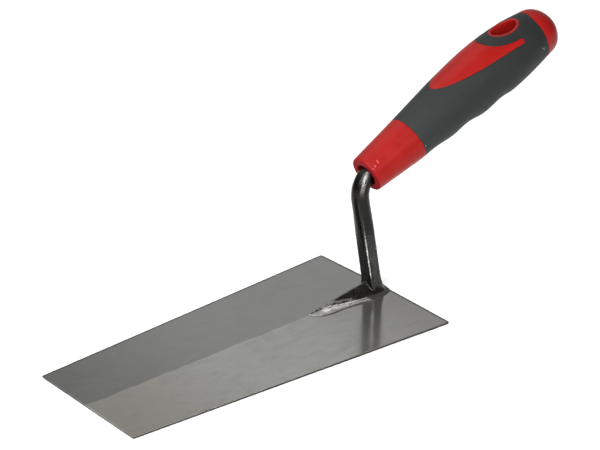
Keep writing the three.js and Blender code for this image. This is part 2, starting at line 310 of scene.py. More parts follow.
def blade_top(x, y):
    """Height of the blade's top: two flat halves that meet in a soft ridge on the centreline."""
    middle = lerp(TOE_THICKNESS, HEEL_THICKNESS, (x - TOE) / (HEEL - TOE))
    share = np.hypot(y, RIDGE_SOFTNESS) / np.hypot(blade_half_width(x), RIDGE_SOFTNESS)
    return lerp(middle, EDGE_THICKNESS, share)


def moved_towards(start, goal, distance):
    return start + (goal - start) * distance / np.linalg.norm(goal - start)


def blade_outline():
    """The tapered plan of the blade, anticlockwise, with its corners rounded."""
    near_side = [(TOE, -TOE_HALF_WIDTH), (HEEL, -HEEL_HALF_WIDTH)]
    corners = np.array(near_side + [(x, -y) for x, y in near_side[::-1]])
    roundings = [TOE_CORNER, HEEL_CORNER, HEEL_CORNER, TOE_CORNER]
    outline = []
    for i, here in enumerate(corners):
        following = (i + 1) % 4
        enter = moved_towards(here, corners[i - 1], roundings[i])
        leave = moved_towards(here, corners[following], roundings[i])
        side_end = moved_towards(corners[following], here, roundings[following])
        steps = int(np.linalg.norm(side_end - leave) / SIDE_STEP)
        outline.append(bezier([enter, here, leave], CORNER_STEPS))
        outline.append(leave + (side_end - leave) * np.arange(steps)[:, None] / steps)
    return np.concatenate(outline)


def blade_mesh():
    """The plate, with rings of points along its rounded edge and a grid of points inside them."""
    outline = blade_outline()
    loops = []
    drops = []
    for inwards, drop in [*roundover(EDGE_ROUNDING), *((ring, 0) for ring in RIM_RINGS)]:
        loops.append(offset_loop(outline, inwards))
        drops.append(np.full(len(outline), drop))
    low, high = (TOE, -HEEL_HALF_WIDTH), (HEEL, HEEL_HALF_WIDTH)
    inner = filled_points(loops, BLADE_GRID, low, high, BLADE_CLEARANCE)
    inner = inner[inside(loops[-1], inner[:, 0], inner[:, 1])]
    points = np.concatenate([*loops, inner])
    drop = np.concatenate([*drops, np.zeros(len(inner))])
    edges = []
    for i in range(len(loops)):
        start = i * len(outline)
        edges += [(start + j, start + (j + 1) % len(outline)) for j in range(len(outline))]
    plan, triangles, origin = triangulate(points, edges)
    triangles = triangles[inside(outline, *plan[triangles].mean(axis=1).T)]
    x, y = plan.T
    drop = drop[origin]
    upper = np.stack([x, y, blade_top(x, y) - drop], axis=1)
    lower = np.stack([x, y, drop], axis=1)
    return shell(upper, lower, triangles)


# ---- shank

SHANK_VOXEL = 0.26
SMOOTHINGS = 4
RIDGE_HALF_FLAT = 0.3
SIDE_HEIGHT = 0.5  # the least height of the foot's side
FOOT_RINGS = 120
NECK_STEP = 0.6
NECK_SIDES = 64
FOOT_FLOOR = HEEL_THICKNESS - 0.2  # just inside the blade
ALONG_HANDLE = np.array([math.cos(HANDLE_TILT), 0, math.sin(HANDLE_TILT)])
CORNER = MOUTH - ALONG_HANDLE * CORNER_TO_MOUTH  # where the neck's and tang's axes would meet
SCALE_WAVES = 0.1
SCALE_PITS = 0.03

foot_half_width = smooth_through(FOOT_HALF_WIDTHS)
ridge_height = smooth_through(FOOT_RIDGE)


def shoulder_height(from_heel):
    """Height of the line where the foot's flank ends and its side drops to the blade."""
    fall = FLANK_FALL * foot_half_width(from_heel)
    return np.maximum(ridge_height(from_heel) - fall, HEEL_THICKNESS + SIDE_HEIGHT)


def foot_mesh():
    """A kite-shaped wedge whose two flanks fall from a ridge, which rises from tip to neck."""
    rings = []
    for from_heel in np.linspace(FOOT_BACK, FOOT_LENGTH, FOOT_RINGS):
        half_width = float(foot_half_width(from_heel))
        half = [
            (half_width, FOOT_FLOOR),
            (half_width, float(shoulder_height(from_heel))),
            (min(RIDGE_HALF_FLAT, half_width), float(ridge_height(from_heel))),
        ]
        x = HEEL - from_heel
        rings.append([(x, y, z) for y, z in half] + [(x, -y, z) for y, z in half[::-1]])
    return closed_tube(rings)


def shank_path():
    """The shank's centreline: where it is and which way is outward, up the neck, round the bend
    and along the tang."""
    up = np.array([-math.sin(NECK_LEAN), 0, math.cos(NECK_LEAN)])
    turn = math.pi / 2 + NECK_LEAN - HANDLE_TILT
    inset = BEND_RADIUS * math.tan(turn / 2)
    neck_length = (CORNER[2] - FOOT_FLOOR) / math.cos(NECK_LEAN) - inset
    bend_length = BEND_RADIUS * turn
    tang_length = TANG_DEPTH + CORNER_TO_MOUTH - inset
    centre = CORNER - up * inset + BEND_RADIUS * np.array([up[2], 0, -up[0]])

    def at(s):
        angle = np.clip((s - neck_length) / BEND_RADIUS, 0, turn) - NECK_LEAN
        direction = np.array([math.sin(angle), 0, math.cos(angle)])
        outward = np.array([-math.cos(angle), 0, math.sin(angle)])
        straight = s - np.clip(s, neck_length, neck_length + bend_length)
        return centre + BEND_RADIUS * outward + straight * direction, outward

    return at, neck_length, neck_length + bend_length + tang_length


def neck_centre(z):
    """Where the straight neck's centreline is along the trowel at a height."""
    return CORNER[0] + (CORNER[2] - z) * math.tan(NECK_LEAN)


def shank_radius(height, angle, in_handle):
    """A rounded square above the foot that fades to a circle at the bend."""
    fade = 1.0 if in_handle else float(smooth_step(height, SQUARE_BELOW, ROUND_ABOVE))
    power = lerp(NECK_SQUARENESS, 2, math.sqrt(fade))
    depth = lerp(NECK_HALF_DEPTH, ROD_RADIUS, fade)
    width = lerp(NECK_HALF_WIDTH, ROD_RADIUS, fade)
    total = np.abs(np.cos(angle) / depth) ** power + np.abs(np.sin(angle) / width) ** power
    return total ** (-1 / power)


def neck_mesh():
    """The neck, which spreads a little where it meets the foot, with the bend and the tang."""
    at, neck_length, total = shank_path()
    angles = np.linspace(0, 2 * math.pi, NECK_SIDES, endpoint=False)
    rings = []
    for s in [*np.arange(0, total, NECK_STEP), total]:
        point, outward = at(s)
        spread = NECK_SPREAD * np.clip((SPREAD_TOP - point[2]) / SPREAD_HEIGHT, 0, 1) ** 2
        radius = shank_radius(point[2], angles, s > neck_length) + spread
        ring = point + radius[:, None] * np.cos(angles)[:, None] * outward
        ring[:, 1] -= radius * np.sin(angles)
        rings.append(ring)
    return closed_tube(rings)


def fused(parts, voxel):
    """Overlapping closed parts fused into one skin by a fine voxel remesh, lightly smoothed."""
    vertices = []
    faces = []
    for part_vertices, part_faces in parts:
        faces += [tuple(i + len(vertices) for i in face) for face in part_faces]
        vertices += list(part_vertices)
    mesh = bpy.data.meshes.new("raw")
    mesh.from_pydata((np.array(vertices) * MM).tolist(), [], faces)
    raw = bpy.data.objects.new("raw", mesh)
    bpy.context.collection.objects.link(raw)
    remesh = raw.modifiers.new("fuse", "REMESH")
    remesh.mode = "VOXEL"
    remesh.voxel_size = voxel * MM
    smooth = raw.modifiers.new("smooth", "SMOOTH")
    smooth.factor = 0.5
    smooth.iterations = SMOOTHINGS
    skin = bpy.data.meshes.new_from_object(raw.evaluated_get(bpy.context.evaluated_depsgraph_get()))
    result = np.array([v.co for v in skin.vertices]) / MM, [tuple(f.vertices) for f in skin.polygons]
    bpy.data.objects.remove(raw)
    for used in (mesh, skin):
        bpy.data.meshes.remove(used)
    return result


def uneven(vertices, faces, amount_at):
    """A mesh with each vertex moved along its normal by amount_at(point)."""
    mesh = bpy.data.meshes.new("even")
    mesh.from_pydata(vertices.tolist(), [], faces)
    normals = np.array([v.normal for v in mesh.vertices])
    bpy.data.meshes.remove(mesh)
    amounts = np.array([amount_at(Vector(p)) for p in vertices])
    return vertices + normals * amounts[:, None], faces


def forging_unevenness(point):
    """Hammered scale: strong on the foot, fading up the neck, back below the bend, and next to
    none on the rod."""
    on_foot = 1 - float(smooth_step(point.z, 8, 26))
    below_bend = float(between(point.z, 40, 50, 56, 62))
    rough = 0.05 + 0.95 * on_foot + 0.5 * below_bend
    waves = noise.noise(point * 0.3) * SCALE_WAVES
    pits = noise.fractal(point * 1.1, 0.7, 2.0, 3) * SCALE_PITS
    return rough * (waves + pits)


def shank_mesh():
    return uneven(*fused([foot_mesh(), neck_mesh()], SHANK_VOXEL), forging_unevenness)


# ---- weld beads

WELD_LAP = 0.9  # how far it reaches in over the foot's side
WELD_HEIGHT = 1.15
WELD_STEP = 0.3
WELD_SINK = 0.15  # how far its edges lie inside the blade
WELD_BASE = FOOT_FLOOR - 0.2
WELD_ARC = 14
WELD_FULLNESS = 0.75  # 1 would be a plain quarter wave, less is fuller
WELD_WANDER = 0.35
WELD_WAVES = 0.14
WELD_PITS = 0.03
WELD_VOXEL = 0.22
# Name, side, distances of its edge from the centreline, seed of its unevenness.
WELDS = [("near", -1, NEAR_WELD, 3.1), ("far", 1, FAR_WELD, 8.7)]


def weld_mesh(side, half_widths, seed):
    """A bead laid in the corner between the foot and the blade and ground to a shallow fillet,
    with a little unevenness left."""
    half_width = smooth_through(half_widths)
    start, end = half_widths[0][0], half_widths[-1][0]
    rings = []
    for from_heel in np.arange(start, end, WELD_STEP):
        on_foot = min(from_heel, FOOT_LENGTH)
        wave = noise.noise(Vector((from_heel * 0.35, seed, 0)))
        toe = float(half_width(from_heel)) + WELD_WANDER * wave
        inner = max(float(foot_half_width(on_foot)) - WELD_LAP, -0.1)
        shoulder = float(shoulder_height(on_foot)) - 0.05
        close = min((from_heel - start + WELD_STEP) / 2, (end - from_heel + WELD_STEP) / 4, 1)
        climb = min(shoulder - HEEL_THICKNESS, WELD_HEIGHT) * math.sin(close * math.pi / 2)
        ring = [(inner, WELD_BASE), (toe, WELD_BASE)]
        for t in np.linspace(0, 1, WELD_ARC):
            round_up = math.sin(t * math.pi / 2) ** WELD_FULLNESS
            height = HEEL_THICKNESS - WELD_SINK + (climb + WELD_SINK) * round_up
            ring.append((lerp(toe, inner, t), height))
        rings.append([(HEEL - from_heel, side * y, z) for y, z in ring])

    def unevenness(point):
        moved = point + Vector((0, 0, seed))
        return noise.noise(moved * 0.45) * WELD_WAVES + noise.noise(moved * 1.3) * WELD_PITS

    return uneven(*fused([closed_tube(rings)], WELD_VOXEL), unevenness)


# ---- handle
# The handle's own axes: u along its axis from the mouth, y across, z up. An angle runs round the
# axis from the top towards the near side.

MEAN_RADIUS = 14.0  # turns angles into lengths on the unrolled surface
HALF_TURN = math.pi * MEAN_RADIUS
SEAM_GAP = 0.06
SEAM_LIP = 0.2
LINER_GAP = 0.1  # between the core and the inside of the sleeve
BORE_GAP = 0.1
BEVEL = 0.3
RECESS_BEVEL = 0.4
HOLE_ROUNDING = 0.9
HOLE_LIP_STEPS = 5
WALL_ROWS = 14
MOUTH_ROWS = 8
DOME_ROWS = 18
LEAF_STEPS = (84, 8, 42)  # along a side, round its prong, along the notch
GRID_START = 26.0
GRID_END = 124.0
GRID_STEP = 0.9
HALF_SIDES = 52
HALF_RING = np.linspace(0, math.pi, HALF_SIDES + 1)

handle_top = smooth_through(HANDLE_TOP)
handle_bottom = smooth_through(HANDLE_BOTTOM)
butt_seam = smooth_through(BUTT_SEAM)


def groove_depth(u):
    total = np.zeros(np.shape(u))
    for i, depth in enumerate(GROOVE_DEPTHS):
        offset = (u - FIRST_GROOVE - i * GROOVE_PITCH) / GROOVE_PITCH
        total += np.where(np.abs(offset) < 0.5, depth * np.cos(offset * math.pi) ** 2, 0)
    return total


def dome(u):
    """How much of the radius is left in the rounded butt."""
    along = np.clip((u - DOME_START) / (HANDLE_LENGTH - DOME_START), 0, 1)
    return np.sqrt(1 - along**DOME_POWER)


def mouth_rounding(u):
    short = np.clip(MOUTH_ROUNDING - u, 0, MOUTH_ROUNDING)
    return MOUTH_ROUNDING - np.sqrt(MOUTH_ROUNDING**2 - short**2)


def from_handle(u, y, z):
    """Points given in the handle's own axes, in the frame."""
    cos, sin = math.cos(HANDLE_TILT), math.sin(HANDLE_TILT)
    return MOUTH + np.stack([u * cos - z * sin, y, u * sin + z * cos], axis=-1)


def on_handle(u, angle, inset=0.0):
    """The handle's surface, moved in by an inset."""
    u, angle, inset = np.broadcast_arrays(*(np.asarray(a, float) for a in (u, angle, inset)))
    top = handle_top(u) - mouth_rounding(u)
    bottom = handle_bottom(u) - mouth_rounding(u)
    rise = np.where(np.cos(angle) > 0, top, bottom - groove_depth(u)) * dome(u) - inset
    width = (top + bottom) / 2 * dome(u) - inset
    return from_handle(u, -width * np.sin(angle), rise * np.cos(angle))


def unrolled(plan, underneath=False):
    """Points seen in plan, (u, y), laid on the unrolled surface as (u, arc length)."""
    u, y = plan.T
    arc = np.arcsin(y / (handle_top(u) + handle_bottom(u)) * 2) * MEAN_RADIUS
    return np.stack([u, HALF_TURN - arc if underneath else arc], axis=1)


def leaf_outline():
    """The leaf-shaped window on top: a rounded nose, a blunt prong on each side, and a notch that
    curves round the hole."""
    prong = np.array(LEAF_PRONG)
    outer = prong + (-PRONG_CUT, PRONG_HALF_WIDTH)
    inner = prong - (PRONG_CUT, PRONG_HALF_WIDTH)
    side, tip, notch = LEAF_STEPS
    half = np.concatenate([
        bezier([(LEAF_TIP, 0), (LEAF_TIP, LEAF_NOSE), LEAF_SHOULDER, outer], side),
        bezier([outer, prong, inner], tip),
        bezier([inner, (LEAF_NOTCH - 0.2, NOTCH_WIDTH), (LEAF_NOTCH, 0)], notch),
        [(LEAF_NOTCH, 0)],
    ])
    return np.concatenate([half, half[-2:0:-1] * (1, -1)])[::-1]


def ellipse(half_length, half_width, count=96):
    """An oval round the hang hole's centre, seen in plan."""
    turn = np.arange(count) / count * 2 * math.pi
    return np.stack([HOLE_CENTRE + half_length * np.cos(turn), half_width * np.sin(turn)], axis=1)


class Unrolled:
    """The near half of the handle's surface laid flat, with its seams, ready to be triangulated."""

    def __init__(self):
        self.points = []
        self.drops = []
        self.edges = []
        self.lines = []

    def add_points(self, points, drop=0.0):
        self.points += list(points)
        self.drops += [drop] * len(points)

    def add_line(self, line, drop):
        """Adds a line, or the half of a closed loop that lies in the near half."""
        arc = line[:, 1]
        axis = 0.0 if arc.min() < -1e-3 else HALF_TURN
        if arc.min() < -1e-3 or arc.max() > HALF_TURN + 1e-3:
            kept = (arc >= -1e-6) & (arc <= HALF_TURN + 1e-6)
            first = int(np.argmax(kept & ~np.roll(kept, 1)))
            line = np.roll(line, -first, axis=0)[: kept.sum()]
            line[[0, -1], 1] = axis
        start = len(self.points)
        self.add_points(line, drop)
        self.edges += [(start + i, start + i + 1) for i in range(len(line) - 1)]
        self.lines.append(line)
        return line

    def add_seam(self, seam):
        """Adds the rounded lips of the pieces on both sides of a seam, which is a closed loop or
        a line from top to bottom. Returns the two edges of the gap, the inner or front one first."""
        closed = np.ptp(seam[:, 1]) < HALF_TURN - 1e-6
        edges = []
        for side in (1, -1):
            for away, drop in roundover(SEAM_LIP):
                distance = side * (SEAM_GAP / 2 + away)
                line = offset_loop(seam, distance) if closed else seam + (distance, 0)
                if away == 0:
                    edges.append(line)
                self.add_line(line.copy(), drop)
        return sorted(edges, key=lambda line: np.ptp(line[:, 0]) if closed else line[0, 0])

    def triangulate(self):
        """Fills the rest of the half with points. Returns points, their drops and triangles."""
        low, high = (GRID_START, 0.0), (GRID_END, HALF_TURN)
        column = np.linspace(0, HALF_TURN, HALF_SIDES + 1)
        ends = np.concatenate([line[[0, -1]] for line in self.lines])
        self.add_points(filled_points(self.lines, GRID_STEP, low, high, 0.6 * GRID_STEP))
        for u in (GRID_START, GRID_END):
            self.add_points([(u, arc) for arc in column])
        for arc in (0.0, HALF_TURN):
            near = ends[ends[:, 1] == arc, 0]
            row = np.arange(GRID_START + GRID_STEP, GRID_END - GRID_STEP / 2, GRID_STEP)
            clear = np.abs(row[:, None] - near[None]).min(axis=1) > GRID_STEP / 2
            self.add_points([(u, arc) for u in row[clear]])
        flat, triangles, origin = triangulate(self.points, self.edges)
        drops = np.array(self.drops)[origin] * (origin >= 0)
        return flat, drops, triangles


def seam_across(seam):
    """A line round the near half, from the top to the bottom, at u = seam(angle in degrees)."""
    arc = np.linspace(0, HALF_TURN, HALF_SIDES * 2 + 1)
    return np.stack([seam(np.degrees(arc / MEAN_RADIUS)), arc], axis=1)


def collar_seam(degrees):
    return COLLAR_LENGTH - COLLAR_SLANT * np.cos(np.radians(degrees))


def handle_meshes():
    """The hard core, which comes up to the surface at the collar, leaf, hole rim and butt, and the
    soft sleeve that fills the rest of the surface."""
    half = Unrolled()
    collar = half.add_seam(seam_across(collar_seam))
    butt = half.add_seam(seam_across(butt_seam))
    rim = ellipse(HOLE_HALF_LENGTH + HOLE_RIM, HOLE_HALF_WIDTH + HOLE_RIM)
    windows = [half.add_seam(loop) for loop in (
        unrolled(leaf_outline()),
        unrolled(rim),
        unrolled(rim, underneath=True),
    )]
    holes = []
    hole_edges = []
    for underneath in (False, True):
        for away, drop in roundover(HOLE_ROUNDING, HOLE_LIP_STEPS):
            loop = ellipse(HOLE_HALF_LENGTH + away, HOLE_HALF_WIDTH + away)
            loop = unrolled(loop, underneath)
            edge = half.add_line(loop.copy(), drop)
            if away == 0:
                holes.append(loop)
                hole_edges.append(edge)
    flat, drops, triangles = half.triangulate()

    u, arc = flat[triangles].mean(axis=1).T
    in_front = [u < np.interp(arc, line[:, 1], line[:, 0]) for line in collar]
    behind = [u > np.interp(arc, line[:, 1], line[:, 0]) for line in butt]
    in_core = in_front[0] | behind[1]
    in_sleeve = ~in_front[1] & ~behind[0]
    for inner, outer in windows:
        in_core |= inside(inner, u, arc)
        in_sleeve &= ~inside(outer, u, arc)
    kept = ~inside(holes[0], u, arc) & ~inside(holes[1], u, arc)

    angle = flat[:, 1] / MEAN_RADIUS
    surface = on_handle(flat[:, 0], angle, drops)
    floor = on_handle(flat[:, 0], angle, SLEEVE_WALL)
    liner = on_handle(flat[:, 0], angle, SLEEVE_WALL - LINER_GAP)

    count = len(flat)
    raised = triangles[in_core & kept]
    sunk = triangles[~in_core & kept]
    faces = [tuple(t) for t in raised] + [tuple(t + count) for t in sunk]
    sunk_edges = edge_uses(sunk)
    for a, b in edge_uses(raised):
        if (b, a) in sunk_edges:
            faces.append((b, a, a + count, b + count))
    core = merged([
        (np.concatenate([surface, floor]), faces),
        grid(mouth_rows()),
        grid(butt_rows()),
        grid(hole_rows(hole_edges)),
    ], mirror=True)

    on_axis = {i for i in range(count) if flat[i, 1] in (0.0, HALF_TURN)}
    sleeve = merged([shell(surface, liner, triangles[in_sleeve], on_axis)], mirror=True)
    return core, sleeve


def grid(rows):
    """Quads between rows of points."""
    rows = np.asarray(rows)
    count, across_count = rows.shape[:2]
    faces = []
    for i in range(count - 1):
        for j in range(across_count - 1):
            k = i * across_count + j
            faces.append((k, k + 1, k + 1 + across_count, k + across_count))
    return rows.reshape(-1, 3), faces


def mouth_rows():
    """Half rings from the bottom of the tang's bore, out over the mouth's rim, along the collar."""
    bore_radius = ROD_RADIUS + BORE_GAP
    profile = [
        (TANG_DEPTH + BEVEL, 0),
        (TANG_DEPTH + BEVEL, bore_radius),
        (RECESS_DEPTH + BEVEL, bore_radius),
        (RECESS_DEPTH, bore_radius + BEVEL),
        (RECESS_DEPTH, RECESS_RADIUS - RECESS_BEVEL),
        (RECESS_DEPTH - RECESS_BEVEL, RECESS_RADIUS),
        (RECESS_DEPTH / 2, RECESS_RADIUS),
        (BEVEL, RECESS_RADIUS),
        (0.3 * BEVEL, RECESS_RADIUS + 0.3 * BEVEL),
        (0, RECESS_RADIUS + BEVEL),
    ]
    y, z = -np.sin(HALF_RING), np.cos(HALF_RING)
    rows = [from_handle(np.full(len(HALF_RING), u), r * y, r * z) for u, r in profile]
    stations = [
        *(MOUTH_ROUNDING * (1 - math.cos(t)) for t in np.linspace(0, math.pi / 2, MOUTH_ROWS)[:-1]),
        *np.arange(MOUTH_ROUNDING, GRID_START, GRID_STEP),
        GRID_START,
    ]
    return rows + [on_handle(u, HALF_RING) for u in stations]


def butt_rows():
    """Half rings over the dome of the butt, closer together towards its end."""
    reach = HANDLE_LENGTH - DOME_START
    start = math.asin(((GRID_END - DOME_START) / reach) ** (DOME_POWER / 2))
    turns = np.linspace(start, math.pi / 2, DOME_ROWS)
    stations = DOME_START + reach * np.sin(turns) ** (2 / DOME_POWER)
    stations[0] = GRID_END
    return [on_handle(u, HALF_RING) for u in stations]


def hole_rows(edges):
    """The wall of the hang hole, between its edges on the top and the bottom of the handle."""
    ends = [on_handle(edge[:, 0], edge[:, 1] / MEAN_RADIUS, HOLE_ROUNDING) for edge in edges]
    top, bottom = (end if end[0][0] < end[-1][0] else end[::-1] for end in ends)
    return [lerp(top, bottom, t) for t in np.linspace(0, 1, WALL_ROWS)]


# ---- materials
# Colours are linear (red, green, blue). A node or socket knows its node tree as id_data.


def new_material(name):
    """A material whose texture coordinates are millimetres in the frame."""
    material = bpy.data.materials.new(name)
    material.use_nodes = True
    tree = material.node_tree
    shader = tree.nodes["Principled BSDF"]
    place = add(tree, "TexCoord").outputs["Object"]
    millimetres = add(tree, "VectorMath", {0: place, "Scale": 1 / MM}, operation="SCALE")
    return material, tree, shader, millimetres.outputs[0]


def set_inputs(node, inputs):
    """Sets inputs of a node, each to a value or to a link from another node's output socket."""
    for key, value in inputs.items():
        if isinstance(value, bpy.types.NodeSocket):
            node.id_data.links.new(value, node.inputs[key])
        else:
            node.inputs[key].default_value = value


def add(tree, kind, inputs=None, **settings):
    """Adds a shader node."""
    node = tree.nodes.new("ShaderNode" + kind)
    for key, value in settings.items():
        setattr(node, key, value)
    set_inputs(node, inputs or {})
    return node


def grain(place, scale, detail=3, roughness=0.55, stretch=None):
    """Noise from 0 to 1, centred on 0.5, with features about 1 / scale mm wide."""
    if stretch:
        place = add(place.id_data, "Mapping", {"Vector": place, "Scale": stretch}).outputs[0]
    inputs = {"Vector": place, "Scale": scale, "Detail": detail, "Roughness": roughness}
    return add(place.id_data, "TexNoise", inputs).outputs["Fac"]


def ramp(value, low, high, to_low=0.0, to_high=1.0):
    """Maps a value between low and high smoothly to between to_low and to_high."""
    inputs = {"Value": value, "From Min": low, "From Max": high, "To Min": to_low, "To Max": to_high}
    node = add(value.id_data, "MapRange", inputs, interpolation_type="SMOOTHSTEP")
    return node.outputs["Result"]


def blended(share, first, second):
    """A colour between two: each is (r, g, b) or a socket."""
    colours = {}
    for key, colour in ((6, first), (7, second)):
        colours[key] = colour if isinstance(colour, bpy.types.NodeSocket) else (*colour, 1)
    return add(share.id_data, "Mix", {0: share, **colours}, data_type="RGBA").outputs[2]


def layered(tone, layers):
    """A tone with others laid over it in turn, each with the share of it that shows."""
    for share, colour in layers:
        tone = blended(share, tone, colour)
    return tone


def combined(operation, first, second):
    return add(first.id_data, "Math", {0: first, 1: second}, operation=operation).outputs[0]


def product(first, second):
    return combined("MULTIPLY", first, second)


def magnitude(value):
    return add(value.id_data, "Math", {0: value}, operation="ABSOLUTE").outputs[0]


def bumped(shader, height, distance_mm):
    """Sets the shader's normal from a height between 0 and 1."""
    inputs = {"Height": height, "Distance": distance_mm * MM, "Strength": 1.0}
    set_inputs(shader, {"Normal": add(shader.id_data, "Bump", inputs).outputs[0]})


def attribute(tree, name):
    return add(tree, "Attribute", attribute_name=name).outputs["Fac"]


def scratches(place, angle, scale, width):
    """Thin long lines in one direction: 1 on a line, 0 between."""
    inputs = {"Vector": place, "Rotation": (0, 0, math.radians(angle))}
    turned = add(place.id_data, "Mapping", inputs).outputs[0]
    value = grain(turned, scale, 1, 0.4, (0.03, 1, 1))
    return ramp(magnitude(combined("SUBTRACT", value, 0.5)), 0, width, 1, 0)


def blade_steel():
    """Ground sheet steel under a thin film of oil. The near half is painted lighter than the far
    half, a painted reflection of how the two halves catch the light. Both are darker towards the
    toe, the near half also towards the heel, and the sheared edges are dark. Painted shade darkens
    a line on top along the heel and the far side."""
    material, tree, shader, place = new_material("blade_steel")
    axes = add(tree, "SeparateXYZ", {0: place}).outputs
    # Painted reflection: the lighter near half and darker far half stand for how the two halves
    # reflect the light, split along a wavy line by the centreline; both are darker towards the toe.
    far = blended(ramp(axes["X"], -105, 10), (0.136, 0.137, 0.127), (0.283, 0.285, 0.279))
    near = blended(ramp(axes["X"], -100, 0), (0.289, 0.276, 0.239), (0.425, 0.425, 0.405))
    near = blended(ramp(axes["X"], 20, 90), near, (0.3, 0.295, 0.285))
    reflection_split = combined("ADD", axes["Y"], product(grain(place, 0.12, 4), 3))
    oil = grain(place, 0.03, 5, 0.6)
    brushing = grain(place, 1.1, 3, 0.6, (0.05, 1, 1))
    mottle = grain(place, 0.16, 4, 0.7, (0.6, 1, 1))
    lines = scratches(place, 28, 0.22, 0.004)
    lines = combined("MAXIMUM", lines, scratches(place, -12, 0.17, 0.003))
    # The sheared rim is dark in its own right; the line on top along the heel and the far side is
    # painted shade.
    sheared = product(attribute(tree, "rim"), ramp(axes["Z"], 0.9, 0.7))
    dark = combined("MAXIMUM", sheared, product(attribute(tree, "edge"), 0.85))
    tone = layered(near, [
        (ramp(reflection_split, 1, 2), far),
        (ramp(oil, 0.3, 0.7, 0, 0.2), (0.28, 0.275, 0.25)),
        (ramp(brushing, 0.3, 0.75, 0, 0.12), (0.24, 0.24, 0.232)),
        (ramp(mottle, 0.45, 0.7, 0, 0.2), (0.2, 0.196, 0.182)),
        (product(lines, 0.11), (0.6, 0.595, 0.58)),
        (dark, (0.014, 0.014, 0.013)),
    ])
    matt = combined("ADD", ramp(brushing, 0.3, 0.7, 0.11, 0.15), ramp(oil, 0.3, 0.7, 0, 0.05))
    set_inputs(shader, {"Base Color": tone, "Metallic": 0.87, "Roughness": matt})
    bumped(shader, combined("ADD", brushing, lines), 0.0015)
    return material


def forged_steel():
    """Black forging scale with an oily shine, worn bright in specks. The bright line along the
    neck's forged edges is partly wear and partly painted highlight, and the bend has a painted
    highlight.
    Heavier scale below the bend is darkened further by painted shade, as are the bend's other sides.
    """
    material, tree, shader, place = new_material("forged_steel")
    patches = grain(place, 0.25, 5, 0.65)
    pits = grain(place, 1.3, 4, 0.6)
    specks = ramp(grain(place, 0.9, 2, 0.5), 0.67, 0.73, 0, 0.45)
    hollows = ramp(grain(place, 0.8, 2, 0.5, (0.5, 1, 1)), 0.4, 0.5, 0, 0.9)
    # Painted highlight on the bend where it faces the front lamp.
    bend_highlight = attribute(tree, "bend_highlight")
    # Along the neck's forged edges: partly wear, partly painted highlight.
    wear_and_highlight = product(attribute(tree, "wear_and_highlight"), ramp(pits, 0.36, 0.56))
    # Heavier scale below the bend, darkened further by painted shade, and painted shade on the
    # bend's other sides.
    scale_and_shade = product(attribute(tree, "scale_and_shade"), ramp(patches, 0.2, 0.5, 0.4, 0.9))
    tone = blended(ramp(patches, 0.35, 0.7), (0.032, 0.0315, 0.0295), (0.06, 0.059, 0.0565))
    tone = layered(tone, [
        (bend_highlight, (0.15, 0.147, 0.14)),
        (combined("MAXIMUM", wear_and_highlight, specks), (0.6, 0.59, 0.57)),
        (scale_and_shade, (0.014, 0.0135, 0.012)),
        (product(attribute(tree, "ground"), hollows), (0.45, 0.445, 0.43)),
    ])
    matt = combined("SUBTRACT", ramp(pits, 0.3, 0.7, 0.2, 0.36), product(bend_highlight, 0.06))
    set_inputs(shader, {"Base Color": tone, "Metallic": 0.95, "Roughness": matt})
    bumped(shader, combined("ADD", pits, patches), 0.06)
    return material


def weld_metal():
    """Weld ground bright, with a painted highlight on the bead's upper half, pits left dark, and
    painted shade at the end near the heel and along the outer edge.
    """
    material, tree, shader, place = new_material("weld_metal")
    cloud = grain(place, 0.8, 4, 0.6, (0.45, 1, 1))
    streaks = grain(place, 0.9, 4, 0.65, (0.3, 1, 1))
    # Ground metal is bright, and the bead's upper half lighter still: a painted highlight.
    shine = product(attribute(tree, "shine"), ramp(streaks, 0.36, 0.58))
    # Painted shade and pits, broken up by noise.
    spots = combined("ADD", attribute(tree, "dark"), product(cloud, 0.9))
    shade_and_pits = ramp(spots, 0.85, 1.25)
    tone = blended(ramp(cloud, 0.35, 0.65), (0.24, 0.235, 0.215), (0.36, 0.355, 0.335))
    tone = layered(tone, [
        (shine, (0.78, 0.775, 0.76)),
        (shade_and_pits, (0.065, 0.06, 0.052)),
    ])
    matt = ramp(shade_and_pits, 0, 1, 0.32, 0.55)
    set_inputs(shader, {"Base Color": tone, "Metallic": 0.7, "Roughness": matt})
    bumped(shader, streaks, 0.006)
    return material


# Distance from the mouth, distance round the handle from its top, direction in degrees, length.
MOUTH_NICKS = [(5.4, 10.8, 95, 2.6), (2.9, 12, 100, 1.8), (1.3, 12.6, 70, 1.2)]
GRIP_NICKS = [(114.2, 22.9, 60, 1.5), (115.2, 23.9, 150, 1.5), (30.9, 22.8, 100, 1.5)]


def nick_mark(tree, along, across, angle, length):
    """A short scratch in the handle's own coordinates: 1 on it, 0 elsewhere."""
    cos, sin = math.cos(math.radians(angle)), math.sin(math.radians(angle))
    from_x = combined("SUBTRACT", attribute(tree, "along"), along)
    from_y = combined("SUBTRACT", attribute(tree, "across"), across)

    def distance(a, b):
        return magnitude(combined("ADD", product(from_x, a), product(from_y, b)))

    lengthways = ramp(distance(cos, sin), length / 3, length * 2 / 3, 1, 0)
    sideways = ramp(distance(-sin, cos), 0.08, 0.28, 1, 0)
    return product(lengthways, sideways)


